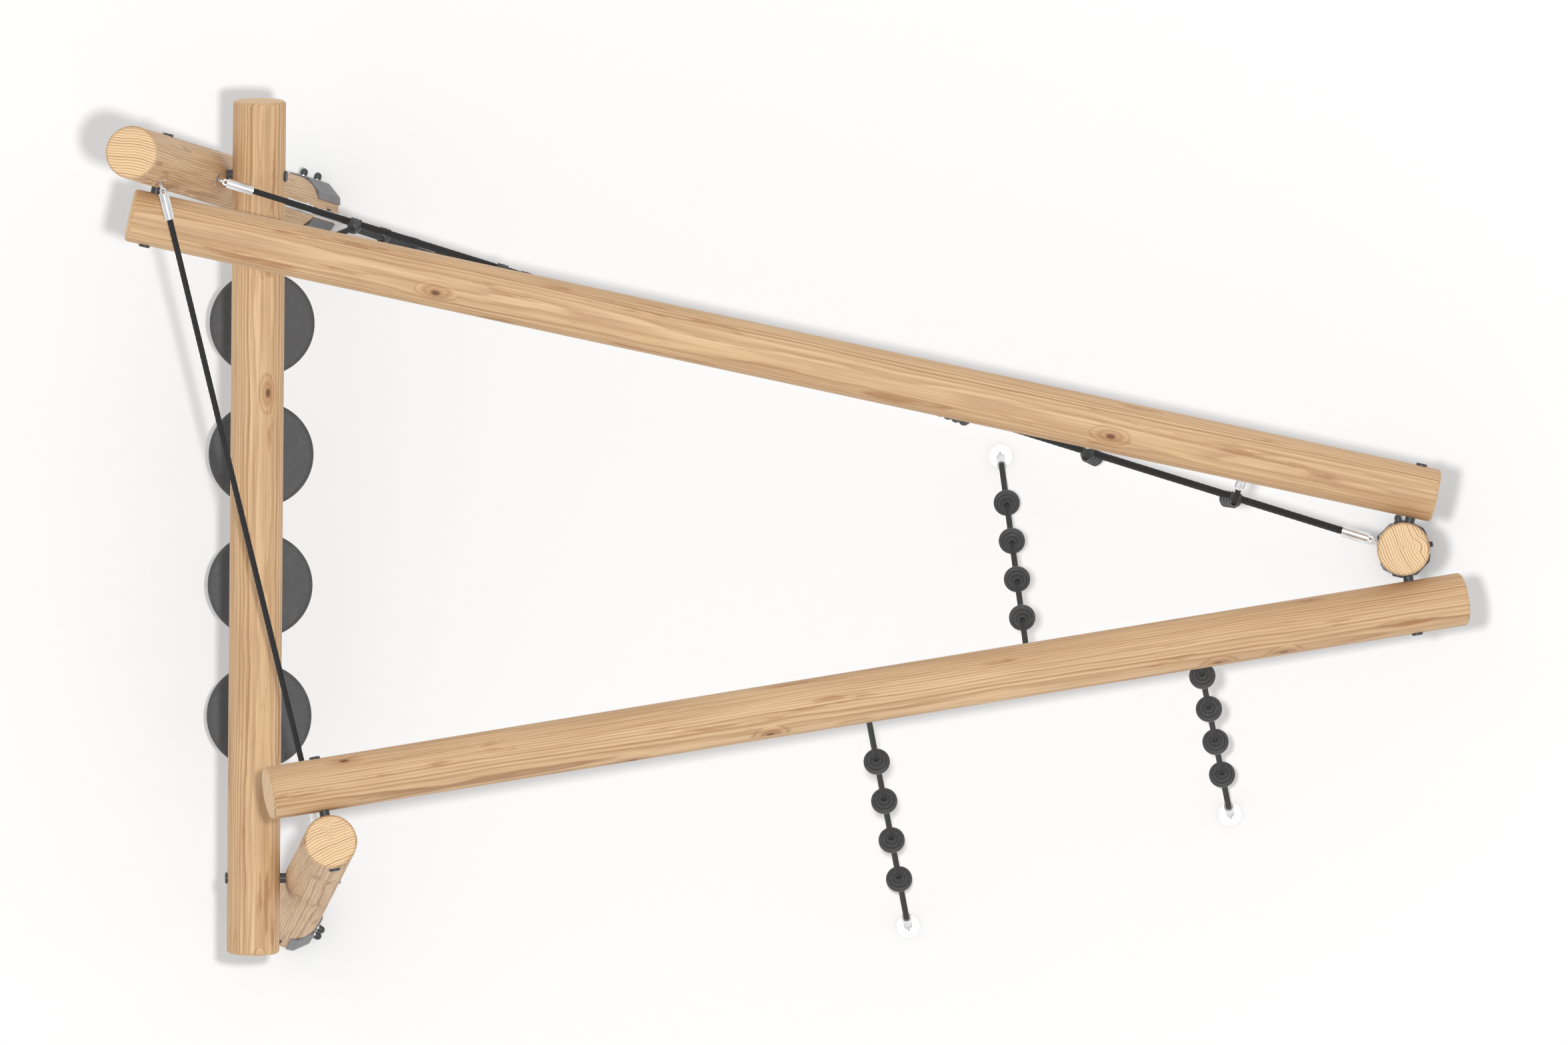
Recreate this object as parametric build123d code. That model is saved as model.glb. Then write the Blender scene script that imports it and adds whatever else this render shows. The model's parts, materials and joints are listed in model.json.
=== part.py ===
from build123d import *
import math
import os

os.makedirs("parts", exist_ok=True)

# ---------------------------------------------------------------- driving dimensions, millimetres
log_radius = 70.0
log_edge_radius = 10.0
spacer_length = 15.0
spacer_radius = 13.5
joint_reach = 2 * log_radius + spacer_length
fitting_rounds = 30

# Each post: foot of its axis on the ground, top of its axis.
rear_left_post = (Vector(-1261, 843, 0), Vector(-1713, 972, 2420))
front_left_post = (Vector(-1322, -1069, 0), Vector(-1190, -837, 2345))
right_post = (Vector(1657, -71, 0), Vector(1632, -70, 1950))

# Each beam is bolted to two posts: the post, the bolt's height on it, and the side that the beam
# lies on, 1 for the left hand of a person looking along the beam and -1 for the right.
rear_beam_joints = ((rear_left_post, 2012, -1), (right_post, 1840, 1))
front_beam_joints = ((front_left_post, 2294, 1), (right_post, 1667, -1))
cross_beam_joints = ((front_left_post, 1283, 1), (rear_left_post, 1492, -1))
rear_beam_overhang = 55.0
front_beam_overhang = 140.0
cross_beam_overhang = 200.0

beam_bolt_radius = 6.0
beam_bolt_bore_radius = 6.25
beam_cap_radius = 15.0
beam_cap_height = 7.5
bolt_seat_depth = 2.0
nut_radius = 9.5
nut_height = 5.0
nut_side_clearance = 0.5
nut_top_clearance = 0.2
cap_bevel_width = 1.5
cap_bevel_height = 3.0
seat_clearance = 0.2
cutter_length = 20.0
spacer_stock_from = 50.0
spacer_cutter_half = 100.0

sole_thickness = 12.0
sole_radius = 65.0
anchor_thread_radius = 8.75
anchor_rod_clearance_radius = 10.5
anchor_rod_depth = 60.0
stock_below_ground = 60.0
ground_block_width = 600.0
ground_block_depth = 200.0

shell_facet_angle = 36.0
shell_half_angle = 68.5
shell_inner_apothem = 68.5
shell_thickness = 5.0
shell_height = 280.0
foot_bolt_stations = (45.0, 235.0)
cross_bolt_station = 140.0
foot_bolt_radius = 6.0
foot_bolt_bore_radius = 6.25
foot_washer_radius = 12.5
foot_washer_thickness = 2.5
foot_cap_radius = 10.0
foot_cap_height = 18.0
foot_nut_height = 8.0
foot_bolt_head_height = 3.0
cross_bolt_seat_depth = 1.0
cross_bolt_nut_height = 5.0
cross_bolt_head_height = 6.0
cross_cap_radius = 9.0
cross_cap_tip_share = 0.7
cross_cap_height = 11.0

rope_radius = 8.0
ferrule_radius = 13.0
ferrule_length = 72.0
ferrule_start = 7.0
ferrule_wall_end = 12.0
bow_radius = 6.0
bow_bar_radius = 2.6
ring_radius = 9.5
ring_bar_radius = 3.2
ring_stand_off = 11.2
eye_washer_radius = 18.0
eye_washer_thickness = 2.5
eye_shank_radius = 5.0
eye_shank_length = 55.0
hook_reach = log_radius + ring_stand_off + ring_radius

# Handrail rope: height of each eye on its post, and the side of the post that it faces.
handrail_rear = (2170, Vector(0.36, -0.93, 0))
handrail_front = (1900, Vector(-0.18, 0.98, 0))

# Climbing net: a vertical plane given by one plan point at each post, rows and columns in it.
net_left = Vector(-1495, 905, 0)
net_right = Vector(1564, -48, 0)
net_row_heights = (1620, 1220, 820, 420)
net_column_count = 7
column_offset = 17.0
column_top_first_x = -1250.0
column_top_step_x = 413.0
column_upper_first_x = -1132.0
column_upper_step_x = 387.5
column_lower_first_x = -910.0
column_lower_step_x = 348.7
column_tail = 34.0
column_bend_rise = 14.0
column_bend_radius = 60.0
connector_radius = 16.5
connector_length = 36.0
connector_ball_radius = 19.5
connector_row_relief = 2.0
connector_bore_clearance = 0.1

# Climbing ropes: distance along X where each leaves the front beam, and its ground point.
climbing_ropes = (
    (663, Vector(579, 177, 0)),
    (228, Vector(332, -1081, 0)),
    (1103, Vector(1193, -781, 0)),
)
knob_count = 4
knob_spacing = 350.0
first_knob_along = 420.0
knob_radius = 35.0
knob_thickness = 18.0
knob_edge_radius = 6.0
knob_boss_base_radius = 17.0
knob_boss_tip_radius = 11.0
knob_boss_height = 15.0
knob_bore_radius = 8.2
anchor_plate_radius = 30.0
anchor_plate_thickness = 8.0
anchor_screw_radius = 5.1
anchor_screw_depth = 6.0

# Hanging disc steps under the cross beam.
disc_count = 4
disc_spacing = 349.0
first_disc_y = 531.0
disc_radius = 140.0
disc_thickness = 36.0
disc_edge_radius = 12.0
disc_hang = 1000.0
disc_collar_radius = 20.0
disc_collar_height = 22.0
shackle_bar_radius = 3.0
shackle_bow_radius = 6.7
shackle_pin_radius = 3.0
shackle_pin_drop = 24.0
shackle_ear_radius = 7.5
tongue_thickness = 6.0
tongue_half_width = 6.5
tongue_bore_radius = 3.05
hanging_ferrule_drop = 12.0
tongue_side_clearance = 0.5
shackle_pin_overhang = 3.0

up = Vector(0, 0, 1)
nodes = {}


# ---------------------------------------------------------------- helpers
def between(start, end, radius):
    """A round bar from one point to another."""
    run = end - start
    return Solid.make_cylinder(radius, run.length, Plane(origin=start, z_dir=run))


def axis_of(post):
    return (post[1] - post[0]).normalized()


def at_height(post, height):
    """The point of a post's axis at a height above the ground."""
    foot, top = post
    return foot + (top - foot) * (height / top.Z)


def across(vector, axis):
    """The part of a vector that is square to an axis, at unit length."""
    return (vector - axis * vector.dot(axis)).normalized()


def add(name, *shapes):
    nodes.setdefault(name, []).extend(solid for shape in shapes for solid in shape.solids())


def ground_block(foot, top_height):
    """A block under a post's foot, with its top at a height above the ground."""
    half = ground_block_width / 2
    block = Solid.make_box(ground_block_width, ground_block_width, ground_block_depth)
    return block.moved(Pos(foot.X - half, foot.Y - half, top_height - ground_block_depth))


def ring(centre, normal, radius, bar_radius):
    return Solid.make_torus(radius, bar_radius, Plane(origin=centre, z_dir=normal))


def half_ring(centre, side, toward, radius, bar_radius):
    """Half a torus that runs from centre + side to centre - side, round the side away from toward."""
    plane = Plane(origin=centre, x_dir=side, z_dir=toward.cross(side))
    return Solid.make_torus(radius, bar_radius, plane, major_angle=180)


# ---------------------------------------------------------------- logs
def beam_axis(joints):
    """The bolt points of a beam, each square to the beam and to its post, joint_reach away."""
    centres = [at_height(post, height) for post, height, side in joints]
    points = list(centres)
    for _ in range(fitting_rounds):
        run = (points[1] - points[0]).normalized()
        for index, (post, height, side) in enumerate(joints):
            away = axis_of(post).cross(run).normalized()
            points[index] = centres[index] + away * (side * joint_reach)
    return list(zip(centres, points))


def beam_log(links, overhang):
    start, end = links[0][1], links[1][1]
    run = (end - start).normalized()
    body = between(start - run * overhang, end + run * overhang, log_radius)
    return body.fillet(log_edge_radius, body.edges().filter_by(GeomType.CIRCLE))


def post_log(post):
    foot, top = post
    body = between(foot - axis_of(post) * stock_below_ground, top, log_radius)
    rims = body.edges().filter_by(GeomType.CIRCLE).sort_by(Axis.Z)
    body = body.fillet(log_edge_radius, rims[-1:])
    return body - ground_block(foot, sole_thickness)


rear_links = beam_axis(rear_beam_joints)
front_links = beam_axis(front_beam_joints)
cross_links = beam_axis(cross_beam_joints)

logs = {
    "rear_left_post": post_log(rear_left_post),
    "front_left_post": post_log(front_left_post),
    "right_post": post_log(right_post),
    "rear_beam": beam_log(rear_links, rear_beam_overhang),
    "front_beam": beam_log(front_links, front_beam_overhang),
    "cross_beam": beam_log(cross_links, cross_beam_overhang),
}
cuts = {name: [] for name in logs}
posts = {
    "rear_left_post": rear_left_post,
    "front_left_post": front_left_post,
    "right_post": right_post,
}


# ---------------------------------------------------------------- bolted joints between logs
def flat_cap():
    """A low cover with a bevelled rim that stands on a flat seat at the origin and holds a nut."""
    hollow_radius = nut_radius + nut_side_clearance
    hollow_height = nut_height + nut_top_clearance
    outline = Polyline(
        (0, 0, hollow_height),
        (hollow_radius, 0, hollow_height),
        (hollow_radius, 0, 0),
        (beam_cap_radius, 0, 0),
        (beam_cap_radius, 0, beam_cap_height - cap_bevel_height),
        (beam_cap_radius - cap_bevel_width, 0, beam_cap_height),
        (0, 0, beam_cap_height),
        close=True,
    )
    return revolve(make_face(outline), Axis.Z)


bolt_cap = flat_cap()


def bolt_together(post_name, beam_name, centre, point):
    outward = (point - centre).normalized()
    seat = log_radius - bolt_seat_depth
    post_seat = centre - outward * seat
    beam_seat = point + outward * seat
    bolt = between(post_seat, beam_seat, beam_bolt_radius)
    for place, direction in ((post_seat, outward * -1), (beam_seat, outward)):
        bolt += Solid.make_cylinder(nut_radius, nut_height, Plane(origin=place, z_dir=direction))
        add("beam_bolt_caps", Plane(origin=place, z_dir=direction).location * bolt_cap)
    add("beam_bolts", bolt)

    clear = between(post_seat, beam_seat, beam_bolt_bore_radius)
    post = posts[post_name]
    along_beam_log = beam_runs[beam_name] * spacer_cutter_half
    along_post_log = axis_of(post) * spacer_cutter_half
    inset = outward * spacer_stock_from
    body = between(centre + inset, point - inset, spacer_radius)
    body -= between(centre - along_post_log, centre + along_post_log, log_radius)
    body -= between(point - along_beam_log, point + along_beam_log, log_radius)
    add("beam_spacers", body - clear)

    pocket_radius = beam_cap_radius + seat_clearance
    cuts[post_name] += [clear, between(post_seat, post_seat - outward * cutter_length, pocket_radius)]
    cuts[beam_name] += [clear, between(beam_seat, beam_seat + outward * cutter_length, pocket_radius)]


beam_runs = {
    "rear_beam": (rear_links[1][1] - rear_links[0][1]).normalized(),
    "front_beam": (front_links[1][1] - front_links[0][1]).normalized(),
    "cross_beam": (cross_links[1][1] - cross_links[0][1]).normalized(),
}
bolt_together("rear_left_post", "rear_beam", *rear_links[0])
bolt_together("right_post", "rear_beam", *rear_links[1])
bolt_together("front_left_post", "front_beam", *front_links[0])
bolt_together("right_post", "front_beam", *front_links[1])
bolt_together("front_left_post", "cross_beam", *cross_links[0])
bolt_together("rear_left_post", "cross_beam", *cross_links[1])


# ---------------------------------------------------------------- feet
def facet_radius(apothem, angle):
    """Radius of a ten-sided ring at an angle from the middle of one facet."""
    nearest = round(angle / shell_facet_angle) * shell_facet_angle
    return apothem / math.cos(math.radians(angle - nearest))


def half_shell(post, outward):
    """A folded plate round one side of a post's foot, standing on the ground."""
    bends = [shell_facet_angle * (step - 1.5) for step in range(4)]
    angles = [-shell_half_angle] + bends + [shell_half_angle]
    outer = shell_inner_apothem + shell_thickness
    below = post[0] - axis_of(post) * stock_below_ground
    plane = Plane(origin=below, x_dir=outward, z_dir=axis_of(post))
    corners = [(facet_radius(outer, angle), angle) for angle in angles]
    corners += [(facet_radius(shell_inner_apothem, angle), angle) for angle in reversed(angles)]
    points = []
    for radius, angle in corners:
        turn = math.radians(angle)
        points.append(plane.from_local_coords(Vector(radius * math.cos(turn), radius * math.sin(turn), 0)))
    face = Face(Wire.make_polygon(points, close=True))
    body = Solid.extrude(face, axis_of(post) * (stock_below_ground + shell_height))
    return body - ground_block(post[0], 0)


def build_foot(name, post, cap_side, cross_side):
    """Sole plate, two shells, two clamping bolts and one cross bolt of a post's foot."""
    axis = axis_of(post)
    cap_side = across(cap_side, axis)
    cross_side = across(cross_side, axis)
    label = name.replace("_post", "_foot")
    plate_face = shell_inner_apothem + shell_thickness

    ground_plane = Plane(origin=post[0], z_dir=up)
    sole = Solid.make_cylinder(sole_radius, sole_thickness, ground_plane)
    add("foot_soles", sole - Solid.make_cylinder(anchor_thread_radius, sole_thickness, ground_plane))
    rod_depth = sole_thickness + anchor_rod_depth
    cuts[name].append(Solid.make_cylinder(anchor_rod_clearance_radius, rod_depth, ground_plane))

    shells = [half_shell(post, cap_side), half_shell(post, cap_side * -1)]
    cuts[name] += shells
    for station in foot_bolt_stations:
        centre = post[0] + axis * station
        seat = centre + cap_side * plate_face
        back = centre - cap_side * plate_face
        bore = between(back, seat, foot_bolt_bore_radius)
        shells = [shell - bore for shell in shells]
        cuts[name].append(bore)
        washer_top = seat + cap_side * foot_washer_thickness
        washer = between(seat, washer_top, foot_washer_radius)
        add("foot_bolt_washers", washer - between(seat, washer_top, foot_bolt_bore_radius))
        nut_top = washer_top + cap_side * foot_nut_height
        head = between(back - cap_side * foot_bolt_head_height, back, foot_washer_radius)
        add("foot_bolts", between(back, nut_top, foot_bolt_radius) + head)
        plane = Plane(origin=washer_top, z_dir=cap_side)
        dome = Solid.make_cylinder(foot_cap_radius, foot_cap_height - foot_cap_radius, plane)
        centre_top = washer_top + cap_side * (foot_cap_height - foot_cap_radius)
        dome += Solid.make_sphere(foot_cap_radius, Plane(origin=centre_top, z_dir=cap_side), 0, 90, 360)
        add("foot_bolt_caps", dome - Solid.make_cylinder(foot_bolt_radius, foot_nut_height, plane))
    add(label + "_shell_a", shells[0])
    add(label + "_shell_b", shells[1])

    centre = post[0] + axis * cross_bolt_station
    seat = centre + cross_side * (log_radius - cross_bolt_seat_depth)
    back = centre - cross_side * (log_radius - cross_bolt_seat_depth)
    head_end = back + cross_side * cross_bolt_head_height
    nut_end = seat + cross_side * cross_bolt_nut_height
    add("foot_bolts", between(back, nut_end, foot_bolt_radius) + between(back, head_end, foot_washer_radius))
    cap_plane = Plane(seat, z_dir=cross_side)
    tip_radius = cross_cap_radius * cross_cap_tip_share
    cap = Solid.make_cone(cross_cap_radius, tip_radius, cross_cap_height, cap_plane)
    add("foot_bolt_caps", cap - between(seat, nut_end, foot_bolt_radius))
    head_pocket_start = back - cross_side * cutter_length
    cap_pocket_end = seat + cross_side * cutter_length
    cuts[name].append(between(head_pocket_start, head_end, foot_washer_radius + seat_clearance))
    cuts[name].append(between(back, seat, foot_bolt_bore_radius))
    cuts[name].append(between(seat, cap_pocket_end, cross_cap_radius + seat_clearance))


build_foot("rear_left_post", rear_left_post, Vector(0.276, 0.961, 0), Vector(0.961, -0.276, 0))
build_foot("front_left_post", front_left_post, Vector(0.869, -0.494, 0), Vector(-0.494, -0.869, 0))
build_foot("right_post", right_post, Vector(-0.174, 0.985, 0), Vector(0.985, 0.174, 0))


# ---------------------------------------------------------------- rope hardware
def eye(log_name, centre, outward, tangent, pull, node):
    """An eye screwed into a log, its ring in the plane of outward and tangent.

    Returns the point of the ring that a rope pulling along pull hooks round, and the ring's normal.
    """
    normal = outward.cross(tangent).normalized()
    seat = centre + outward * (log_radius - eye_washer_thickness)
    face = centre + outward * log_radius
    ring_centre = face + outward * ring_stand_off
    tip = seat - outward * eye_shank_length
    body = between(tip, face, eye_shank_radius) + between(seat, face, eye_washer_radius)
    body += ring(ring_centre, normal, ring_radius, ring_bar_radius)
    add(node, body)
    cuts[log_name].append(between(tip, seat, eye_shank_radius))
    pocket_end = seat + outward * cutter_length
    cuts[log_name].append(between(seat, pocket_end, eye_washer_radius + seat_clearance))
    return ring_centre + across(pull, normal) * ring_radius, normal


def terminal(hook, toward, normal):
    """A swaged rope end: a bow that hooks the ring at hook, and a ferrule round the rope.

    Returns the point where the rope starts inside the ferrule.
    """
    toward = toward.normalized()
    side = across(normal, toward)
    body = half_ring(hook, side, toward, bow_radius, bow_bar_radius)
    for sign in (1, -1):
        leg = hook + side * (sign * bow_radius)
        body += between(leg, leg + toward * (ferrule_start + 1), bow_bar_radius)
    start = hook + toward * ferrule_start
    end = start + toward * ferrule_length
    body += between(start, end, ferrule_radius)
    rope_start = start + toward * ferrule_wall_end
    add("rope_terminals", body - between(rope_start, end + toward, rope_radius))
    return rope_start


def hung_between(name, first, second):
    """A straight tight rope between two hooks, each given as (hook, ring normal)."""
    run = second[0] - first[0]
    start = terminal(first[0], run, first[1])
    end = terminal(second[0], run * -1, second[1])
    add(name, between(start, end, rope_radius))
    return start, end


def post_eye(post_name, height, direction, pull):
    """An eye square to a leaning post, with its ring at a height above the ground."""
    post = posts[post_name]
    outward = across(direction, axis_of(post))
    centre = at_height(post, height - outward.Z * (log_radius + ring_stand_off))
    return eye(post_name, centre, outward, across(up, outward), pull, "post_eye_bolts")


# ---------------------------------------------------------------- handrail rope
handrail_height, handrail_side = handrail_rear
front_height, front_side = handrail_front
handrail_pull = at_height(front_left_post, front_height) + front_side * hook_reach
handrail_pull -= at_height(rear_left_post, handrail_height) + handrail_side * hook_reach
rear_hook = post_eye("rear_left_post", handrail_height, handrail_side, handrail_pull)
front_hook = post_eye("front_left_post", front_height, front_side, handrail_pull * -1)
hung_between("handrail_rope", rear_hook, front_hook)

# ---------------------------------------------------------------- climbing net
net_run = (net_right - net_left).normalized()
net_front = net_run.cross(up).normalized()


def net_point(x, height, offset):
    """A point of the net's plane at a distance along X, moved offset towards the front."""
    share = (x - net_left.X) / (net_right.X - net_left.X)
    flat = net_left + (net_right - net_left) * share
    return Vector(flat.X, flat.Y, height) + net_front * offset


def row_hook(post_name, height, run):
    """An eye on a post whose hook lies in the net's plane."""
    post = posts[post_name]
    aside = (net_left - at_height(post, height)).dot(net_front)
    direction = net_front * aside + run * math.sqrt(hook_reach**2 - aside**2)
    return post_eye(post_name, height, direction, run)


row_lines = []
for row, height in enumerate(net_row_heights, 1):
    left_hook = row_hook("rear_left_post", height, net_run)
    right_hook = row_hook("right_post", height, net_run * -1)
    row_lines.append(hung_between(f"net_row_rope_{row}", left_hook, right_hook))


def beam_eye(beam_name, links, x, target):
    """An eye under a beam at a distance along X, facing a target point."""
    start = links[0][1]
    run = beam_runs[beam_name]
    centre = start + run * ((x - start.X) / run.X)
    outward = across(target - centre, run)
    return eye(beam_name, centre, outward, across(run, outward), target - centre, "beam_eye_screws")


def connector(place, column_run):
    """A clamp ball that holds a column rope in front of a row rope."""
    body = Solid.make_sphere(connector_ball_radius, Plane(origin=place), -90, 90, 360)
    half = connector_length / 2
    row_centre = place - net_front * (column_offset / 2)
    column_centre = place + net_front * (column_offset / 2)
    row_bar_radius = connector_radius - connector_row_relief
    body += between(row_centre - net_run * half, row_centre + net_run * half, row_bar_radius)
    body += between(column_centre - column_run * half, column_centre + column_run * half, connector_radius)
    return body


for column in range(net_column_count):
    upper_x = column_upper_first_x + column_upper_step_x * column
    lower_x = column_lower_first_x + column_lower_step_x * column
    upper = net_point(upper_x, net_row_heights[0], column_offset)
    lower = net_point(lower_x, net_row_heights[-1], column_offset)
    run = (upper - lower).normalized()
    top_x = column_top_first_x + column_top_step_x * column
    bend = upper + run * column_bend_rise
    hook = beam_eye("rear_beam", rear_links, top_x, bend)
    start = terminal(hook[0], bend - hook[0], hook[1])
    tail = lower - run * column_tail
    path = FilletPolyline(start, bend, tail, radius=column_bend_radius)
    rope = sweep(Plane(origin=start, z_dir=bend - start) * Circle(rope_radius), path=path)
    add(f"net_column_rope_{column + 1}", rope)
    for height, row_line in zip(net_row_heights, row_lines):
        share = (height - lower.Z) / (upper.Z - lower.Z)
        place = lower + (upper - lower) * share
        ball = connector(place - net_front * (column_offset / 2), run)
        row_bore = between(*row_line, rope_radius + connector_bore_clearance)
        add("net_connectors", ball - row_bore - rope)


# ---------------------------------------------------------------- climbing ropes with knobs
def knob(place, direction):
    """A round foot knob with a conical boss that faces up the rope."""
    half = knob_thickness / 2
    body = Solid.make_cylinder(knob_radius, knob_thickness, Plane(origin=(0, 0, -half)))
    body = body.fillet(knob_edge_radius, body.edges().filter_by(GeomType.CIRCLE))
    boss_plane = Plane(origin=(0, 0, half))
    body += Solid.make_cone(knob_boss_base_radius, knob_boss_tip_radius, knob_boss_height, boss_plane)
    body -= Solid.make_cylinder(knob_bore_radius, 2 * knob_radius, Plane(origin=(0, 0, -knob_radius)))
    return Plane(origin=place, z_dir=direction).location * body


def ground_anchor(point, pull):
    """A ground plate with a ring that stands in the plane of the rope. Returns its hook."""
    aside = Vector(pull.X, pull.Y, 0).normalized()
    normal = up.cross(aside)
    plate = Solid.make_cylinder(anchor_plate_radius, anchor_plate_thickness, Plane(origin=point))
    centre = point + up * (anchor_plate_thickness + ring_stand_off)
    body = plate + ring(centre, normal, ring_radius, ring_bar_radius)
    screw = Solid.make_cylinder(anchor_screw_radius, anchor_screw_depth, Plane(origin=point))
    add("ground_anchors", body - screw)
    return centre + pull.normalized() * ring_radius, normal


for number, (top_x, ground) in enumerate(climbing_ropes, 1):
    top = beam_eye("front_beam", front_links, top_x, ground)
    bottom = ground_anchor(ground, top[0] - ground)
    hung_between(f"climbing_rope_{number}", bottom, top)
    along = (top[0] - bottom[0]).normalized()
    for step in range(knob_count):
        place = bottom[0] + along * (first_knob_along + knob_spacing * step)
        add(f"climbing_knobs_{number}", knob(place, along))


# ---------------------------------------------------------------- hanging discs
across_beam = Vector(1, 0, 0)
along_beam = Vector(0, 1, 0)
hinges = []


def disc_step(number, y):
    """A round step on a rope: a shackle on the eye, a swaged tongue on the shackle's pin."""
    start = cross_links[0][1]
    run = beam_runs["cross_beam"]
    centre = start + run * ((y - start.Y) / run.Y)
    down = up * -1
    hook, normal = eye("cross_beam", centre, down, along_beam, down, "beam_eye_screws")

    bow = half_ring(hook, across_beam, down, shackle_bow_radius, shackle_bar_radius)
    pin_centre = hook + down * shackle_pin_drop
    for sign in (1, -1):
        leg = hook + across_beam * (sign * shackle_bow_radius)
        bow += between(leg, leg + down * shackle_pin_drop, shackle_bar_radius)
        inner = pin_centre + across_beam * (sign * (tongue_thickness / 2 + tongue_side_clearance))
        outer = pin_centre + across_beam * (sign * (shackle_bow_radius + shackle_bar_radius))
        bow += between(inner, outer, shackle_ear_radius)
    reach = across_beam * (shackle_bow_radius + shackle_bar_radius + shackle_pin_overhang)
    bow -= between(pin_centre - reach, pin_centre + reach, shackle_pin_radius)
    add(f"disc_{number}_shackle", bow, between(pin_centre - reach, pin_centre + reach, shackle_pin_radius))

    tongue_end = pin_centre + across_beam * (tongue_thickness / 2)
    tongue = between(tongue_end - across_beam * tongue_thickness, tongue_end, tongue_half_width)
    ferrule_top = pin_centre + down * hanging_ferrule_drop
    web = Solid.make_box(tongue_thickness, 2 * tongue_half_width, hanging_ferrule_drop + 1)
    corner = pin_centre + down * (hanging_ferrule_drop + 1)
    tongue += web.moved(Pos(corner.X - tongue_thickness / 2, corner.Y - tongue_half_width, corner.Z))
    ferrule_end = ferrule_top + down * ferrule_length
    tongue += between(ferrule_top, ferrule_end, ferrule_radius)
    tongue -= between(pin_centre - reach, pin_centre + reach, tongue_bore_radius)
    rope_start = ferrule_top + down * ferrule_wall_end
    tongue -= between(rope_start, ferrule_end + down, rope_radius)

    disc_top = centre + down * disc_hang
    disc_bottom = disc_top + down * disc_thickness
    rope_end = disc_bottom + down * disc_collar_height
    add(f"disc_{number}_rope", between(rope_start, rope_end, rope_radius))
    plate = between(disc_bottom, disc_top, disc_radius)
    plate = plate.fillet(disc_edge_radius, plate.edges().filter_by(GeomType.CIRCLE))
    bore = between(rope_end, disc_top, rope_radius)
    add(f"disc_{number}_plate", plate - bore)
    collar = between(rope_end, disc_bottom, disc_collar_radius) - bore
    add(f"disc_{number}_fittings", tongue, collar)
    hinges.append((hook, pin_centre))


for index in range(disc_count):
    disc_step(index + 1, first_disc_y - disc_spacing * index)

# ---------------------------------------------------------------- logs with their bores, and export
for name, body in logs.items():
    for tool in cuts[name]:
        body = body - tool
    add(name, body)

everything = Compound([solid for solids in nodes.values() for solid in solids])
box = everything.bounding_box()
origin = Vector((box.min.X + box.max.X) / 2, (box.min.Y + box.max.Y) / 2, 0)
for name, solids in nodes.items():
    node = Compound(solids).moved(Pos(-origin.X, -origin.Y, 0))
    export_step(node, f"parts/{name}.step")

for links in (rear_links, front_links, cross_links):
    print("beam axis", [tuple(round(value, 1) for value in point) for centre, point in links])
print("size", box.size, "lowest", box.min.Z, "origin", origin)
print("nodes", len(nodes), "solids", sum(len(solids) for solids in nodes.values()))
for hook, pin_centre in hinges:
    print("hinge", hook - origin, "pin", pin_centre - origin)
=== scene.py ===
import json
import math

import bpy
import numpy as np
from mathutils import Matrix, Vector


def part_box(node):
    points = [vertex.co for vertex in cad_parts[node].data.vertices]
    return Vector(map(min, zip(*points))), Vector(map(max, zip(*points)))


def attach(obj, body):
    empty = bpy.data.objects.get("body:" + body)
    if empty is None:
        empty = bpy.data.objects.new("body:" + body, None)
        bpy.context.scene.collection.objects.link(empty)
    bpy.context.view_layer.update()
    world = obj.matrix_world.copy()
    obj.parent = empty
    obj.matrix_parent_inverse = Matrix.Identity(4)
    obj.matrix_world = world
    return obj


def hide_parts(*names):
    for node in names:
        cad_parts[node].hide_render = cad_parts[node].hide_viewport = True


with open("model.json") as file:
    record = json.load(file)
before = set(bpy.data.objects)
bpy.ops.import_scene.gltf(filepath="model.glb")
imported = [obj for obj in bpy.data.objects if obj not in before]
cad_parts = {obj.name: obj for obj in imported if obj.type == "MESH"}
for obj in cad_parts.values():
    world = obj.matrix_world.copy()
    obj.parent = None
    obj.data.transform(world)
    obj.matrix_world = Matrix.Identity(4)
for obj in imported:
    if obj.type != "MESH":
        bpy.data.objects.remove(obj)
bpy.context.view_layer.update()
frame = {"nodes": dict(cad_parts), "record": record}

nodes = frame["nodes"]
record = frame["record"]
slot_of = {part["node"]: part["material_slot"] for part in record["subparts"]}
body_of = {node: body for body, members in record["behaviour"]["bodies"].items() for node in members}

MM = 0.001
UP = Vector((0, 0, 1))

# ---------------------------------------------------------------- camera, light and floor
VIEW_CENTRE = (-0.0157, 0.0121)
CAMERA_HEIGHT = 127.0
CAMERA_LENS = 1090.0
SENSOR_WIDTH = 36.0
FLOOR_HALF = 60.0
FLOOR_COLOUR = (0.90, 0.90, 0.90, 1)
FLOOR_ROUGHNESS = 0.9
LAMP_HEIGHT = 42.0
LAMP_SIZE = 0.66
LAMP_POWER = 6800.0
SKY_STRENGTH = 0.76


def add_camera():
    data = bpy.data.cameras.new("camera")
    data.sensor_width = SENSOR_WIDTH
    data.lens = CAMERA_LENS
    data.clip_end = 2 * CAMERA_HEIGHT
    camera = bpy.data.objects.new("camera", data)
    camera.location = (*VIEW_CENTRE, CAMERA_HEIGHT)
    bpy.context.scene.collection.objects.link(camera)
    bpy.context.scene.camera = camera


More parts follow.
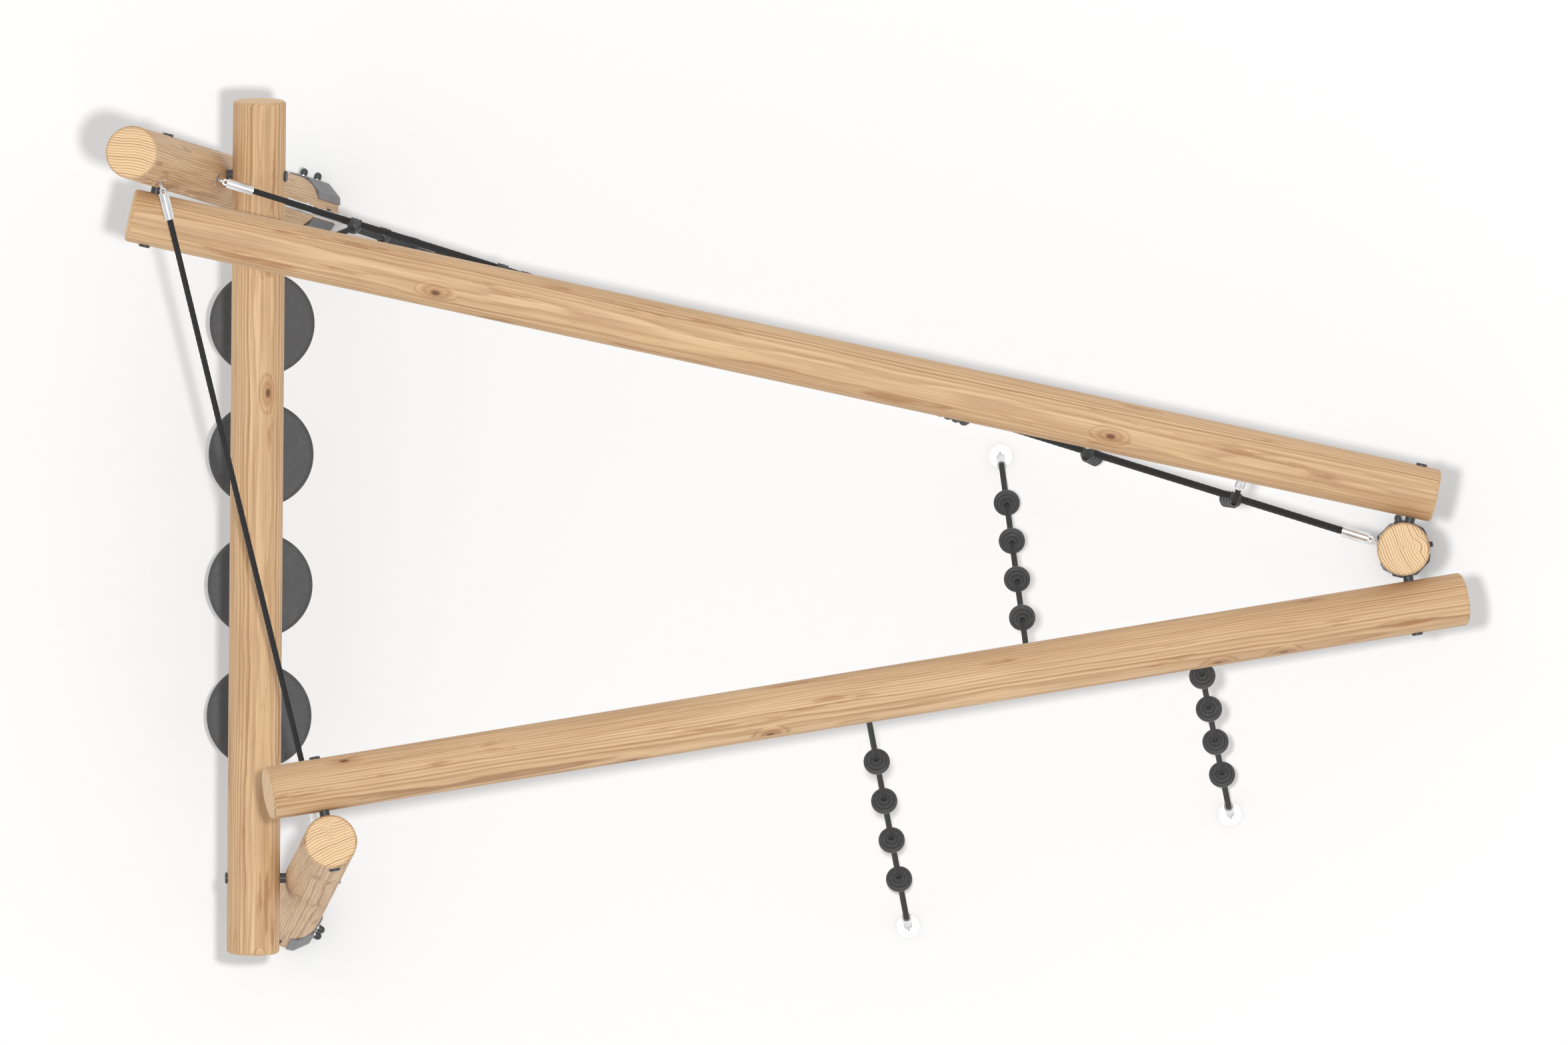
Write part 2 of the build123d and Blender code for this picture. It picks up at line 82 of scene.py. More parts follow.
def add_light():
    data = bpy.data.lights.new("softbox", "AREA")
    data.shape = "DISK"
    data.size = LAMP_SIZE
    data.energy = LAMP_POWER
    lamp = bpy.data.objects.new("softbox", data)
    lamp.location = (*VIEW_CENTRE, LAMP_HEIGHT)
    bpy.context.scene.collection.objects.link(lamp)
    world = bpy.data.worlds.new("studio")
    world.use_nodes = True
    sky = world.node_tree.nodes["Background"]
    sky.inputs["Color"].default_value = (1, 1, 1, 1)
    sky.inputs["Strength"].default_value = SKY_STRENGTH
    bpy.context.scene.world = world
    bpy.context.scene.view_settings.view_transform = "Standard"


def add_floor():
    corners = [(x * FLOOR_HALF, y * FLOOR_HALF, 0) for x, y in ((-1, -1), (1, -1), (1, 1), (-1, 1))]
    mesh = bpy.data.meshes.new("floor")
    mesh.from_pydata(corners, [], [(0, 1, 2, 3)])
    floor = bpy.data.objects.new("floor", mesh)
    bpy.context.scene.collection.objects.link(floor)
    material = bpy.data.materials.new("pale_floor")
    material.use_nodes = True
    shader = material.node_tree.nodes["Principled BSDF"]
    shader.inputs["Base Color"].default_value = FLOOR_COLOUR
    shader.inputs["Roughness"].default_value = FLOOR_ROUGHNESS
    mesh.materials.append(material)


# ---------------------------------------------------------------- material graphs
class Graph:
    """Short calls for building one material's nodes. A value is a socket or a plain number."""

    def __init__(self, name):
        self.material = bpy.data.materials.new(name)
        self.material.use_nodes = True
        self.tree = self.material.node_tree
        self.shader = self.tree.nodes["Principled BSDF"]

    def node(self, kind, **settings):
        made = self.tree.nodes.new("ShaderNode" + kind)
        for key, value in settings.items():
            setattr(made, key, value)
        return made

    def put(self, value, socket):
        if isinstance(value, bpy.types.NodeSocket):
            self.tree.links.new(value, socket)
        else:
            socket.default_value = value

    def math(self, operation, *values):
        made = self.node("Math", operation=operation)
        for value, socket in zip(values, made.inputs):
            self.put(value, socket)
        return made.outputs[0]

    def vector(self, operation, *values):
        made = self.node("VectorMath", operation=operation)
        for value, socket in zip(values, made.inputs):
            self.put(value, socket)
        return made.outputs["Value" if operation in ("DOT_PRODUCT", "LENGTH") else "Vector"]

    def xyz(self, x, y, z):
        made = self.node("CombineXYZ")
        for value, socket in zip((x, y, z), made.inputs):
            self.put(value, socket)
        return made.outputs[0]

    def split(self, vector):
        made = self.node("SeparateXYZ")
        self.put(vector, made.inputs[0])
        return made.outputs

    def noise(self, vector, scale, detail=3.0, roughness=0.55):
        made = self.node("TexNoise")
        self.put(vector, made.inputs["Vector"])
        made.inputs["Scale"].default_value = scale
        made.inputs["Detail"].default_value = detail
        made.inputs["Roughness"].default_value = roughness
        return made.outputs["Fac"]

    def mix(self, share, first, second):
        made = self.node("Mix", data_type="RGBA")
        self.put(share, made.inputs[0])
        self.put(first, made.inputs[6])
        self.put(second, made.inputs[7])
        return made.outputs[2]

    def remap(self, value, low, high, to_low=0.0, to_high=1.0):
        made = self.node("MapRange", clamp=True)
        for number, socket in zip((value, low, high, to_low, to_high), made.inputs):
            self.put(number, socket)
        return made.outputs[0]

    def bump(self, height, distance, strength=1.0):
        made = self.node("Bump")
        made.inputs["Strength"].default_value = strength
        made.inputs["Distance"].default_value = distance
        self.put(height, made.inputs["Height"])
        self.put(made.outputs[0], self.shader.inputs["Normal"])

    def place(self):
        return self.node("TexCoord").outputs["Object"]

    def set(self, **values):
        for name, value in values.items():
            self.put(value, self.shader.inputs[name.replace("_", " ")])
        return self.material


# ---------------------------------------------------------------- wood
GRAIN_LIGHT = (0.72, 0.49, 0.275, 1)
GRAIN_DARK = (0.33, 0.165, 0.070, 1)
STREAK_COLOUR = (0.36, 0.165, 0.062, 1)
KNOT_COLOUR = (0.17, 0.075, 0.035, 1)
END_LIGHT = (0.82, 0.58, 0.33, 1)
END_DARK = (0.30, 0.145, 0.060, 1)
GRAIN_SPACING = 7.0 * MM
GRAIN_CENTRE = 190 * MM
GRAIN_WANDER = 13 * MM
GRAIN_WIGGLE = 0.9 * MM
KNOT_CELL = 105 * MM
KNOT_SHARE = 0.88
KNOT_RADIUS = 7 * MM
KNOT_SWELL = 26 * MM
KNOT_BULGE = 12 * MM
KNOT_LENGTHENING = 0.42
LOG_RADIUS = 70 * MM
RING_SQUASH = 0.6
LOG_TURN = 1.9
LOG_SHIFT = 3.7
GRAIN_RELIEF = 0.5 * MM

# Noises over a log's own place: how much it is squeezed across and along the log, then its settings.
SLOW_WANDER = {"squeeze": (6, 6, 1), "scale": 1.3}
QUICK_WIGGLE = {"squeeze": (30, 30, 9), "scale": 1.0}
FIBRE = {"squeeze": (170, 170, 3), "scale": 1.0, "detail": 4}
FLAME = {"squeeze": (26, 26, 3.2), "scale": 1.0, "detail": 4, "roughness": 0.62}
PATCH = {"squeeze": (5, 5, 1), "scale": 1.7, "detail": 2}


def squeezed_noise(graph, place, squeeze, **settings):
    return graph.noise(graph.vector("MULTIPLY", place, squeeze), **settings)


def centred(graph, noise, reach):
    """A noise turned into a length from minus reach to plus reach."""
    return graph.math("MULTIPLY", graph.math("SUBTRACT", noise, 0.5), 2 * reach)


def knots(graph, x, y, along):
    """How near a place is to a knot, and whether it is in the knot's dark core."""
    around = graph.math("MULTIPLY", graph.math("ARCTAN2", y, x), LOG_RADIUS)
    cells = graph.node("TexVoronoi", voronoi_dimensions="2D")
    cells.inputs["Scale"].default_value = 1 / KNOT_CELL
    place = graph.xyz(around, graph.math("MULTIPLY", along, KNOT_LENGTHENING), 0)
    graph.put(place, cells.inputs["Vector"])
    reach = graph.math("MULTIPLY", cells.outputs["Distance"], KNOT_CELL)
    chosen = graph.math("GREATER_THAN", graph.split(cells.outputs["Color"])[0], KNOT_SHARE)
    near = graph.math("MULTIPLY", graph.remap(reach, KNOT_RADIUS, KNOT_SWELL, 1, 0), chosen)
    core = graph.math("MULTIPLY", graph.remap(reach, 0.5 * KNOT_RADIUS, KNOT_RADIUS, 1, 0), chosen)
    return near, core


def late_wood(graph, x, y, wander, ripple):
    """The dark part of each yearly layer, 0 to 1. The layers' centre lies outside the log."""
    off_centre = graph.math("ADD", x, GRAIN_CENTRE)
    squashed = graph.xyz(off_centre, graph.math("MULTIPLY", y, RING_SQUASH), 0)
    layered = graph.math("ADD", graph.math("ADD", graph.vector("LENGTH", squashed), wander), ripple)
    layer = graph.math("DIVIDE", layered, GRAIN_SPACING)
    phase = graph.math("FRACT", layer)
    late = graph.math("MULTIPLY", graph.remap(phase, 0.25, 0.80), graph.remap(phase, 0.88, 1.0, 1, 0))
    random = graph.node("TexWhiteNoise", noise_dimensions="1D")
    graph.put(graph.math("FLOOR", layer), random.inputs["W"])
    return graph.math("MULTIPLY", late, graph.remap(random.outputs["Value"], 0, 1, 0.45, 1.0))


def wood(name, start, axis, seed):
    """Pale softwood whose layers follow one log's own axis, with knots and end grain."""
    graph = Graph(name)
    mapping = graph.node("Mapping", vector_type="TEXTURE")
    mapping.inputs["Location"].default_value = start
    turn = axis.to_track_quat("Z", "Y").to_matrix() @ Matrix.Rotation(seed * LOG_TURN, 3, "Z")
    mapping.inputs["Rotation"].default_value = turn.to_euler()
    graph.put(graph.place(), mapping.inputs["Vector"])
    place = graph.vector("ADD", mapping.outputs[0], (0, 0, seed * LOG_SHIFT))
    x, y, along = graph.split(place)

    near, core = knots(graph, x, y, along)
    wander = centred(graph, squeezed_noise(graph, place, **SLOW_WANDER), GRAIN_WANDER)
    wiggle = centred(graph, squeezed_noise(graph, place, **QUICK_WIGGLE), GRAIN_WIGGLE)
    ripple = graph.math("ADD", wiggle, graph.math("MULTIPLY", near, KNOT_BULGE))
    late = late_wood(graph, x, y, wander, ripple)
    fibre = squeezed_noise(graph, place, **FIBRE)
    flame = squeezed_noise(graph, place, **FLAME)
    patch = squeezed_noise(graph, place, **PATCH)

    side = graph.mix(graph.remap(patch, 0.35, 0.7, 0, 0.22), GRAIN_LIGHT, GRAIN_DARK)
    side = graph.mix(graph.math("MULTIPLY", late, 0.78), side, GRAIN_DARK)
    side = graph.mix(graph.remap(fibre, 0.44, 0.70, 0, 0.48), side, GRAIN_DARK)
    side = graph.mix(graph.remap(flame, 0.60, 0.67, 0, 0.66), side, STREAK_COLOUR)
    side = graph.mix(graph.math("MULTIPLY", near, 0.5), side, STREAK_COLOUR)
    side = graph.mix(core, side, KNOT_COLOUR)
    end = graph.mix(graph.math("MULTIPLY", late, 0.95), END_LIGHT, END_DARK)
    normal = graph.node("NewGeometry").outputs["Normal"]
    facing = graph.math("ABSOLUTE", graph.vector("DOT_PRODUCT", normal, tuple(axis)))
    colour = graph.mix(graph.remap(facing, 0.80, 0.92), side, end)

    relief = graph.math("ADD", graph.math("MULTIPLY", late, 0.6), graph.math("MULTIPLY", fibre, 0.8))
    graph.bump(relief, GRAIN_RELIEF, 0.7)
    return graph.set(Base_Color=colour, Roughness=graph.remap(fibre, 0.3, 0.8, 0.50, 0.72))


# ---------------------------------------------------------------- metal, plastic, rubber and rope
SMUDGE_SHADE = 0.72
SMUDGE_SCALE = 24
METAL_RELIEF = 0.06 * MM


def metal(name, colour, metallic, roughness, brushed=0.08, grain=900.0):
    graph = Graph(name)
    fine = graph.noise(graph.place(), grain, 2)
    broad = graph.noise(graph.place(), SMUDGE_SCALE, 4)
    dark = tuple(channel * SMUDGE_SHADE for channel in colour[:3]) + (1,)
    shade = graph.mix(graph.remap(broad, 0.35, 0.7), colour, dark)
    rough = graph.remap(fine, 0.3, 0.7, roughness - brushed, roughness + brushed)
    graph.bump(fine, METAL_RELIEF, 0.5)
    return graph.set(Base_Color=shade, Metallic=metallic, Roughness=rough)


COAT_COLOUR = (0.150, 0.147, 0.152, 1)
COAT_WORN_COLOUR = (0.092, 0.098, 0.112, 1)
DUST_COLOUR = (0.30, 0.27, 0.23, 1)
DUST_HEIGHT = 70 * MM
COAT_RELIEF = 0.15 * MM


def powder_coat(name):
    """Textured grey coat with a few rubbed, darker places and dust towards the ground."""
    graph = Graph(name)
    place = graph.place()
    orange_peel = graph.noise(place, 420, 3)
    worn = graph.noise(place, 11, 5, 0.65)
    height = graph.split(place)[2]
    colour = graph.mix(graph.remap(worn, 0.42, 0.68), COAT_COLOUR, COAT_WORN_COLOUR)
    dust = graph.math("MULTIPLY", graph.remap(height, 0.0, DUST_HEIGHT, 0.45, 0), graph.remap(worn, 0.3, 0.6))
    colour = graph.mix(dust, colour, DUST_COLOUR)
    graph.bump(orange_peel, COAT_RELIEF, 0.6)
    rough = graph.remap(orange_peel, 0.3, 0.7, 0.38, 0.58)
    return graph.set(Base_Color=colour, Metallic=0.2, Roughness=rough)


def moulded(name, colour, roughness, grain, relief):
    """Plastic or rubber with a moulded grain and slightly scuffed colour."""
    graph = Graph(name)
    place = graph.place()
    pebble = graph.noise(place, grain, 2)
    scuff = graph.noise(place, 38, 5, 0.7)
    pale = tuple(channel * 1.7 for channel in colour[:3]) + (1,)
    shade = graph.mix(graph.remap(scuff, 0.52, 0.78), colour, pale)
    graph.bump(pebble, relief, 0.7)
    rough = graph.remap(scuff, 0.3, 0.7, roughness - 0.08, roughness + 0.10)
    return graph.set(Base_Color=shade, Roughness=rough)


YARNS_ROUND = 36
YARNS_PER_LAY = 66
# Painted shade: the grooves between yarns are coloured darker than the black yarn itself.
YARN_GAP_SHADE_COLOUR = (0.003, 0.003, 0.003, 1)
YARN_COLOUR = (0.016, 0.016, 0.018, 1)
YARN_DUST_COLOUR = (0.026, 0.025, 0.024, 1)
YARN_RELIEF = 0.35 * MM


def rope_yarn(name):
    """Black polyamide yarns laid at a slant on each strand, with painted shade in the grooves between yarns.
    """
    graph = Graph(name)
    u, v, _ = graph.split(graph.node("UVMap", uv_map="strand").outputs[0])
    turn = graph.math("ADD", graph.math("MULTIPLY", u, YARNS_ROUND), graph.math("MULTIPLY", v, YARNS_PER_LAY))
    yarn = graph.math("MULTIPLY_ADD", graph.math("SINE", graph.math("MULTIPLY", turn, math.tau)), 0.5, 0.5)
    fuzz = graph.noise(graph.place(), 700, 3)
    dusty = graph.noise(graph.place(), 18, 3)
    # Painted shade in the grooves between yarns, where the yarn pattern is low.
    colour = graph.mix(graph.remap(yarn, 0.0, 0.9), YARN_GAP_SHADE_COLOUR, YARN_COLOUR)
    colour = graph.mix(graph.remap(dusty, 0.5, 0.8, 0, 0.5), colour, YARN_DUST_COLOUR)
    graph.bump(graph.math("ADD", yarn, graph.math("MULTIPLY", fuzz, 0.5)), YARN_RELIEF, 0.8)
    return graph.set(Base_Color=colour, Roughness=graph.remap(fuzz, 0.3, 0.7, 0.55, 0.78))


# ---------------------------------------------------------------- reading the frame's shapes
END_DEPTH = 2 * MM
POINT_DIGITS = 5


def vertices_of(node):
    mesh = nodes[node].data
    points = np.zeros(len(mesh.vertices) * 3)
    mesh.vertices.foreach_get("co", points)
    return points.reshape(-1, 3)


def unique_points(points):
    return np.unique(np.round(points, POINT_DIGITS), axis=0)


def long_axis(points):
    """The middle of some points and the direction in which they spread most."""
    middle = points.mean(axis=0)
    return middle, np.linalg.svd(points - middle, full_matrices=False)[2][0]


def bar_ends(points):
    """The two end centres of a straight round bar."""
    points = unique_points(points)
    middle, direction = long_axis(points)
    along = (points - middle) @ direction
    ends = [points[along < along.min() + END_DEPTH], points[along > along.max() - END_DEPTH]]
    first, last = (Vector(middle + direction * ((end - middle) @ direction).mean()) for end in ends)
    return first, last


def centre_line(node, step, margin):
    """Centres of a bent bar's level sections, from its lowest to its highest."""
    mesh = nodes[node].data
    points = vertices_of(node)
    pairs = np.zeros(len(mesh.edges) * 2, int)
    mesh.edges.foreach_get("vertices", pairs)
    first, last = points[pairs.reshape(-1, 2)[:, 0]], points[pairs.reshape(-1, 2)[:, 1]]
    centres = []
    low, high = points[:, 2].min() + margin, points[:, 2].max() - margin
    for level in np.linspace(low, high, max(2, round((high - low) / step))):
        crossing = (first[:, 2] - level) * (last[:, 2] - level) < 0
        start, end = first[crossing], last[crossing]
        share = ((level - start[:, 2]) / (end[:, 2] - start[:, 2]))[:, None]
        centres.append(Vector(unique_points(start + (end - start) * share).mean(axis=0)))
    start_run = (centres[0] - centres[1]).normalized()
    return [centres[0] + start_run * margin] + centres


# ---------------------------------------------------------------- mesh making
SMOOTH_ANGLE = math.radians(35)


def make_piece(name, vertices, faces, material, stands_for, uv=None):
    mesh = bpy.data.meshes.new(name)
    mesh.from_pydata(vertices, [], faces)
    if uv:
        layer = mesh.uv_layers.new(name="strand")
        layer.data.foreach_set("uv", [value for pair in uv for value in pair])
    mesh.polygons.foreach_set("use_smooth", [True] * len(mesh.polygons))
    mesh.set_sharp_from_angle(angle=SMOOTH_ANGLE)
    mesh.materials.append(material)
    piece = bpy.data.objects.new(name, mesh)
    bpy.context.scene.collection.objects.link(piece)
    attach(piece, body_of[stands_for])
    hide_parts(stands_for)
    return piece


def basis(origin, direction, side=None):
    """A matrix whose Z axis is a direction, with its origin at a point."""
    third = direction.normalized()
    hint = side or (Vector((1, 0, 0)) if abs(third.x) < 0.8 else Vector((0, 1, 0)))
    first = (hint - third * hint.dot(third)).normalized()
    second = third.cross(first)
    matrix = Matrix((first, second, third)).transposed().to_4x4()
    matrix.translation = origin
    return matrix


def lathe(profile, matrix, segments=48):
    """A closed ring of (radius, height) points turned about Z. A radius of 0 closes on the axis."""
    vertices, faces, rings = [], [], []
    for radius, height in profile:
        if radius == 0:
            rings.append([len(vertices)] * segments)
            vertices.append(matrix @ Vector((0, 0, height)))
            continue
        rings.append(list(range(len(vertices), len(vertices) + segments)))
        for step in range(segments):
            turn = math.tau * step / segments
            vertices.append(matrix @ Vector((radius * math.cos(turn), radius * math.sin(turn), height)))
    closed = profile[0][0] != 0
    count = len(rings) if closed else len(rings) - 1
    for row in range(count):
        lower, upper = rings[row], rings[(row + 1) % len(rings)]
        for step in range(segments):
            after = (step + 1) % segments
            corners = [lower[step], lower[after], upper[after], upper[step]]
            face = list(dict.fromkeys(corners))
            if len(face) > 2:
                faces.append(face)
    return vertices, faces


def joined(shells):
    vertices, faces = [], []
    for some_vertices, some_faces in shells:
        offset = len(vertices)
        vertices += some_vertices
        faces += [[index + offset for index in face] for face in some_faces]
    return vertices, faces


def arc(centre, radius, start, end, steps):
    """Points of an arc in a profile, angles in degrees."""
    angles = [math.radians(start + (end - start) * step / steps) for step in range(steps + 1)]
    return [(centre[0] + radius * math.cos(a), centre[1] + radius * math.sin(a)) for a in angles]


# ---------------------------------------------------------------- ropes
ROPE_RADIUS = 8 * MM
STRANDS = 6
STRAND_SHAPE = (0.90, 0.97, 1.0, 0.97)
ROPE_LAY = 95 * MM
ROPE_STEP = 6 * MM
COLUMN_STEP = 14 * MM
COLUMN_MARGIN = 6 * MM


def spaced_points(path, step):
    """The points of a polyline at even steps, with the direction at each."""
    lengths = [0.0]
    for start, end in zip(path, path[1:]):
        lengths.append(lengths[-1] + (end - start).length)
    count = max(2, round(lengths[-1] / step))
    placed, segment = [], 0
    for index in range(count + 1):
        distance = lengths[-1] * index / count
        while segment < len(path) - 2 and distance > lengths[segment + 1]:
            segment += 1
        share = (distance - lengths[segment]) / (lengths[segment + 1] - lengths[segment])
        placed.append((path[segment].lerp(path[segment + 1], share), distance))
    points = [point for point, _ in placed]
    runs = []
    for index in range(len(points)):
        before, after = points[max(index - 1, 0)], points[min(index + 1, len(points) - 1)]
        runs.append((after - before).normalized())
    return [(point, distance, run) for (point, distance), run in zip(placed, runs)]


def twisted_rope(node, path, material):
    """Six strands laid round each other: each ring is turned a little further than the last."""
    around = STRANDS * len(STRAND_SHAPE)
    vertices, faces, uv = [], [], []
    rows = spaced_points(path, ROPE_STEP)
    side = None
    for point, distance, run in rows:
        matrix = basis(point, run, side)
        side = matrix.col[0].to_3d()
        for step in range(around):
            turn = math.tau * (step / around + distance / ROPE_LAY)
            radius = ROPE_RADIUS * STRAND_SHAPE[step % len(STRAND_SHAPE)]
            vertices.append(matrix @ Vector((radius * math.cos(turn), radius * math.sin(turn), 0)))
    for row in range(len(rows) - 1):
        low, high = rows[row][1] / ROPE_LAY, rows[row + 1][1] / ROPE_LAY
        for step in range(around):
            after = (step + 1) % around
            faces.append([row * around + step, row * around + after,
                          (row + 1) * around + after, (row + 1) * around + step])
            left, right = step / around, (step + 1) / around
            uv += [(left, low), (right, low), (right, high), (left, high)]
    for row, order in ((0, -1), (len(rows) - 1, 1)):
        face = [row * around + step for step in range(around)][::order]
        faces.append(face)
        uv += [(0.5, rows[row][1] / ROPE_LAY)] * around
    return make_piece("twisted_" + node, vertices, faces, material, node, uv)


# ---------------------------------------------------------------- knobs, connectors and discs
# Profiles are drawn in millimetres, as (radius, height) points.
ROPE_BORE = 8.2
KNOB_RIM = 35.0
KNOB_HALF = 9.0
KNOB_LOWER_ROUNDING = 5
KNOB_UPPER_ROUNDING = 6
SLEEVE_FOOT = 18.5
SLEEVE_FILLET = 1.5
SLEEVE_RADIUS = 11.6
SLEEVE_TOP = 15
SLEEVE_ROUNDING = 1.0
SLEEVE_OVERRUN = 0.2
COLLAR_ROUNDING = 3.0
COLLAR_GROOVE_INSET = 7
COLLAR_GROOVE_DEPTH = 1.3
COLLAR_GROOVE_HALF_MOUTH = 1.6
COLLAR_GROOVE_HALF_FLOOR = 0.8
ROW_COLLAR = (12.0, 15)
COLUMN_COLLAR = (13.5, 17)
CONNECTOR_BALL_RADIUS = 19.5
DISC_RIM = 140.0
DISC_ROUNDING = 12
KNOB_GAP_AT_LEAST = 100 * MM
PARALLEL_LIMIT = 1e-9


def in_metres(points):
    return [(radius * MM, height * MM) for radius, height in points]


def groove(start, end, level, depth, slope):
    """A groove in a level face, from one radius to another. A positive depth goes up."""
    inward = math.copysign(slope, end - start)
    return [(start, level), (start + inward, level + depth), (end - inward, level + depth), (end, level)]


def knob_profile():
    """A round knob with a groove in each face, and a tapered sleeve on its upper face."""
    low, high, sleeve_top = -KNOB_HALF, KNOB_HALF, KNOB_HALF + SLEEVE_TOP
    lower_centre = (KNOB_RIM - KNOB_LOWER_ROUNDING, low + KNOB_LOWER_ROUNDING)
    upper_centre = (KNOB_RIM - KNOB_UPPER_ROUNDING, high - KNOB_UPPER_ROUNDING)
    sleeve_centre = (SLEEVE_RADIUS - SLEEVE_ROUNDING, sleeve_top - SLEEVE_ROUNDING)
    points = [(ROPE_BORE, low)] + groove(24, 28, low, 1.5, 1.0) + [(lower_centre[0], low)]
    points += arc(lower_centre, KNOB_LOWER_ROUNDING, -90, 0, 6)[1:]
    points += arc(upper_centre, KNOB_UPPER_ROUNDING, 0, 90, 8)
    points += groove(27.2, 23.8, high, -1.6, 0.8) + [(SLEEVE_FOOT, high)]
    points += arc((SLEEVE_FOOT, high + SLEEVE_FILLET), SLEEVE_FILLET, -90, -160, 3)[1:]
    points += [(SLEEVE_RADIUS, sleeve_centre[1] + SLEEVE_OVERRUN)]
    points += arc(sleeve_centre, SLEEVE_ROUNDING, 0, 90, 3) + [(ROPE_BORE, sleeve_top)]
    return in_metres(points)


def collar_profile(radius, half):
    """A short sleeve round a rope, with two grooves and rounded ends."""
    flat, level = radius - COLLAR_ROUNDING, half - COLLAR_ROUNDING
    floor = radius - COLLAR_GROOVE_DEPTH
    points = [(ROPE_BORE, -half), (flat, -half)] + arc((flat, -level), COLLAR_ROUNDING, -90, 0, 5)[1:]
    for middle in (-half + COLLAR_GROOVE_INSET, half - COLLAR_GROOVE_INSET):
        points += [(radius, middle - COLLAR_GROOVE_HALF_MOUTH), (floor, middle - COLLAR_GROOVE_HALF_FLOOR),
                   (floor, middle + COLLAR_GROOVE_HALF_FLOOR), (radius, middle + COLLAR_GROOVE_HALF_MOUTH)]
    points += arc((flat, level), COLLAR_ROUNDING, 0, 90, 5) + [(ROPE_BORE, half)]
    return in_metres(points)


def ball_profile(radius):
    points = arc((0, 0), radius, -90, 90, 20)
    points[0], points[-1] = (0, -radius), (0, radius)
    return in_metres([(max(x, 0), z) for x, z in points])


def disc_profile(half):
    """A round step with a rounded rim and a shallow ring round its rope."""
    flat, level = DISC_RIM - DISC_ROUNDING, half - DISC_ROUNDING
    points = [(ROPE_BORE, -half), (flat, -half)] + arc((flat, -level), DISC_ROUNDING, -90, 0, 8)[1:]
    points += arc((flat, level), DISC_ROUNDING, 0, 90, 8)
    points += groove(30, 19.5, half, -2.5, 1.5) + [(ROPE_BORE, half)]
    return in_metres(points)


def add_knobs(number, rope_ends, material):
    """The knobs of one climbing rope, at the places that the frame gives them."""
    node = f"climbing_knobs_{number}"
    low, high = sorted(rope_ends, key=lambda end: end.z)
    run = (high - low).normalized()
    points = unique_points(vertices_of(node))
    along = np.sort((points - np.array(low)) @ np.array(run))
    breaks = np.nonzero(np.diff(along) > KNOB_GAP_AT_LEAST)[0]
    starts = [along[0]] + [along[index + 1] for index in breaks]
    shells = [lathe(knob_profile(), basis(low + run * (start + KNOB_HALF * MM), run)) for start in starts]
    make_piece(f"moulded_knobs_{number}", *joined(shells), material, node)


def nearest(line, path):
    """Where a straight line and a polyline pass closest: a point on each, and the polyline's run."""
    best = None
    for start, end in zip(path, path[1:]):
        across = (line[1] - line[0]).cross(end - start)
        if across.length < PARALLEL_LIMIT:
            continue
        between = start - line[0]
        share = between.cross(line[1] - line[0]).dot(across) / across.length_squared
        point = start + (end - start) * min(max(share, 0.0), 1.0)
        run = (line[1] - line[0]).normalized()
        on_line = line[0] + run * (point - line[0]).dot(run)
        gap = (point - on_line).length
        if best is None or gap < best[0]:
            best = (gap, on_line, point, (end - start).normalized())
    return best[1:]


def add_connectors(row_lines, column_lines, material):
    shells = []
    for row in row_lines:
        row_run = (row[1] - row[0]).normalized()
        for column in column_lines:
            on_row, on_column, column_run = nearest(row, column)
            centre = (on_row + on_column) / 2
            shells.append(lathe(ball_profile(CONNECTOR_BALL_RADIUS), basis(centre, on_column - on_row), 36))
            shells.append(lathe(collar_profile(*ROW_COLLAR), basis(on_row, row_run), 36))
            shells.append(lathe(collar_profile(*COLUMN_COLLAR), basis(on_column, column_run), 36))
    make_piece("moulded_net_connectors", *joined(shells), material, "net_connectors")


def add_disc(number, material):
    node = f"disc_{number}_plate"
    low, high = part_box(node)
    centre = (low + high) / 2
    half = (high.z - low.z) / 2 / MM
    make_piece(f"moulded_disc_{number}", *lathe(disc_profile(half), basis(centre, UP), 96), material, node)


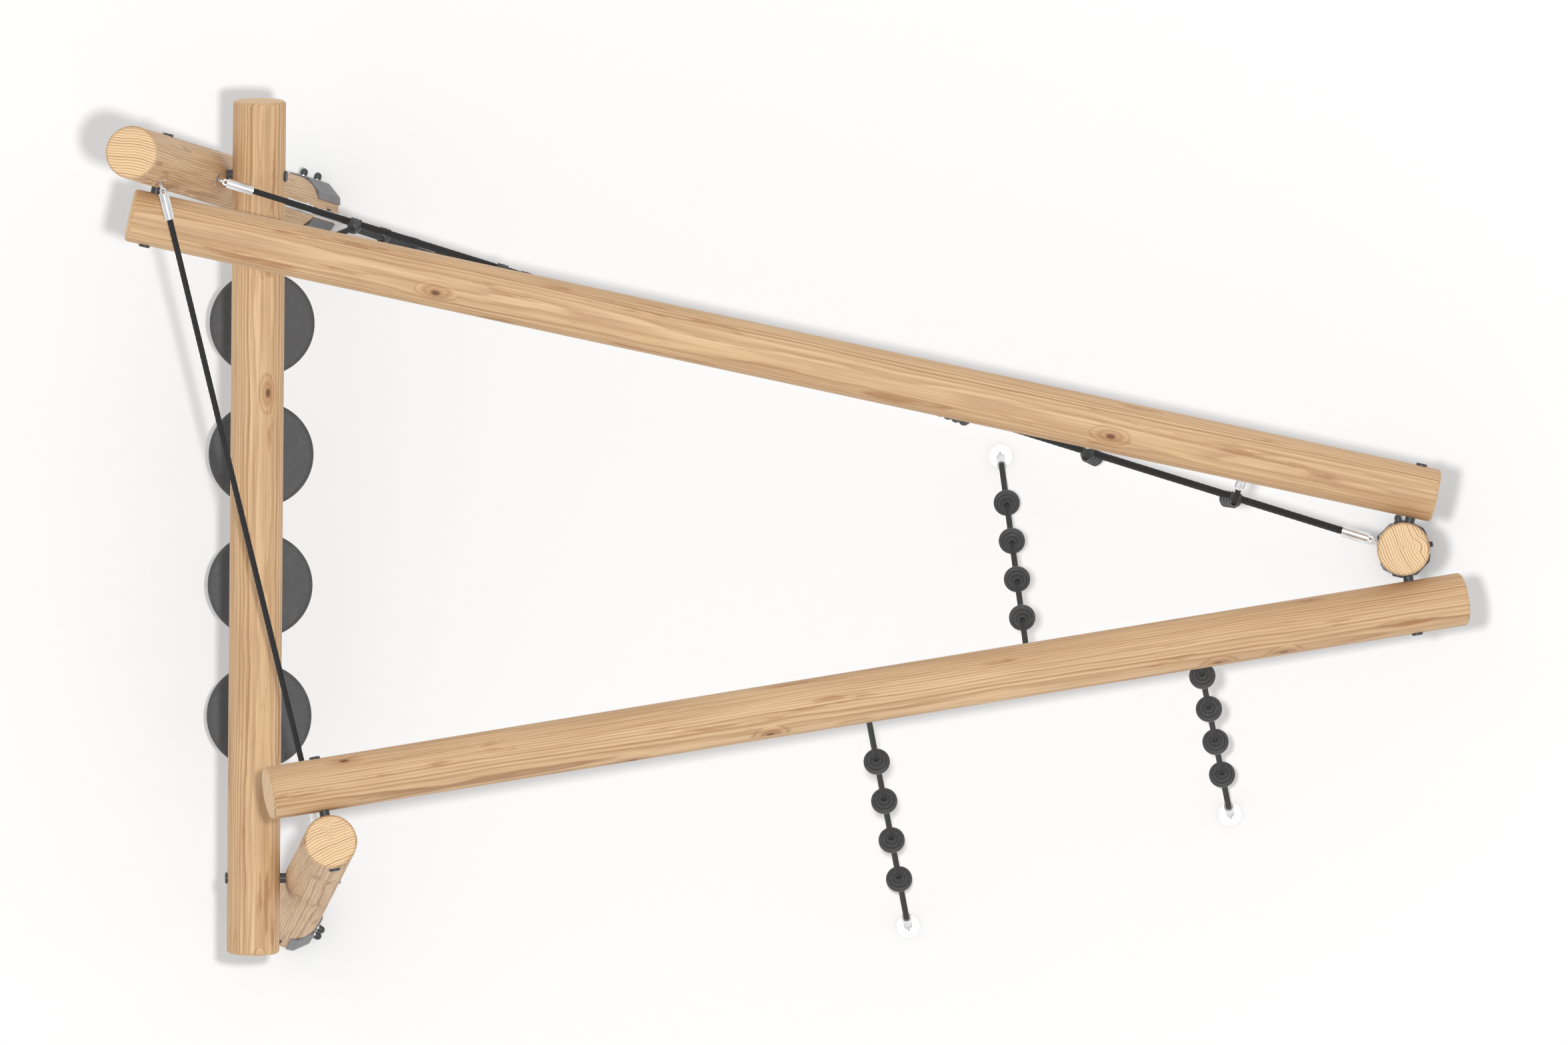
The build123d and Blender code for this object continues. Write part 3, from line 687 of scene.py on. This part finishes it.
# ---------------------------------------------------------------- the object
LOG_NODES = [node for node, slot in slot_of.items() if slot == "timber"]
ROPE_NODES = [node for node, slot in slot_of.items() if slot == "rope"]


def dress(node, material):
    mesh = nodes[node].data
    mesh.materials.clear()
    mesh.materials.append(material)


def log_axis(node):
    middle, direction = long_axis(unique_points(vertices_of(node)))
    direction = Vector(direction)
    return Vector(middle), (direction if direction.z > 0 else -direction).normalized()


def add_ropes(material):
    """All ropes as twisted strands. Returns the line of each, by node name."""
    lines = {}
    for node in ROPE_NODES:
        bent = node.startswith("net_column")
        if bent:
            lines[node] = centre_line(node, COLUMN_STEP, COLUMN_MARGIN)
        else:
            lines[node] = list(bar_ends(vertices_of(node)))
        twisted_rope(node, lines[node], material)
    return lines


add_camera()
add_light()
add_floor()

for index, node in enumerate(LOG_NODES):
    middle, axis = log_axis(node)
    dress(node, wood(f"{node}_wood", middle, axis, index + 1))

finishes = {
    "dark_steel": powder_coat("grey_powder_coat"),
    "zinc_steel": metal("zinc_plate", (0.62, 0.63, 0.65, 1), 1.0, 0.38),
    "bright_steel": metal("bright_stainless", (0.88, 0.88, 0.89, 1), 1.0, 0.24, 0.05),
    "dark_plastic": moulded("dark_nylon", (0.042, 0.043, 0.046, 1), 0.42, 900, 0.12 * MM),
    "knob_rubber": moulded("knob_rubber", (0.045, 0.045, 0.047, 1), 0.50, 700, 0.15 * MM),
    "disc_rubber": moulded("disc_rubber", (0.066, 0.066, 0.068, 1), 0.62, 320, 0.35 * MM),
}
for node, slot in slot_of.items():
    if slot in finishes:
        dress(node, finishes[slot])

rope_lines = add_ropes(rope_yarn("black_rope"))
row_lines = [rope_lines[f"net_row_rope_{number}"] for number in range(1, 5)]
column_lines = [rope_lines[f"net_column_rope_{number}"] for number in range(1, 8)]
add_connectors(row_lines, column_lines, finishes["dark_plastic"])
for number in range(1, 4):
    add_knobs(number, rope_lines[f"climbing_rope_{number}"], finishes["knob_rubber"])
for number in range(1, 5):
    add_disc(number, finishes["disc_rubber"])
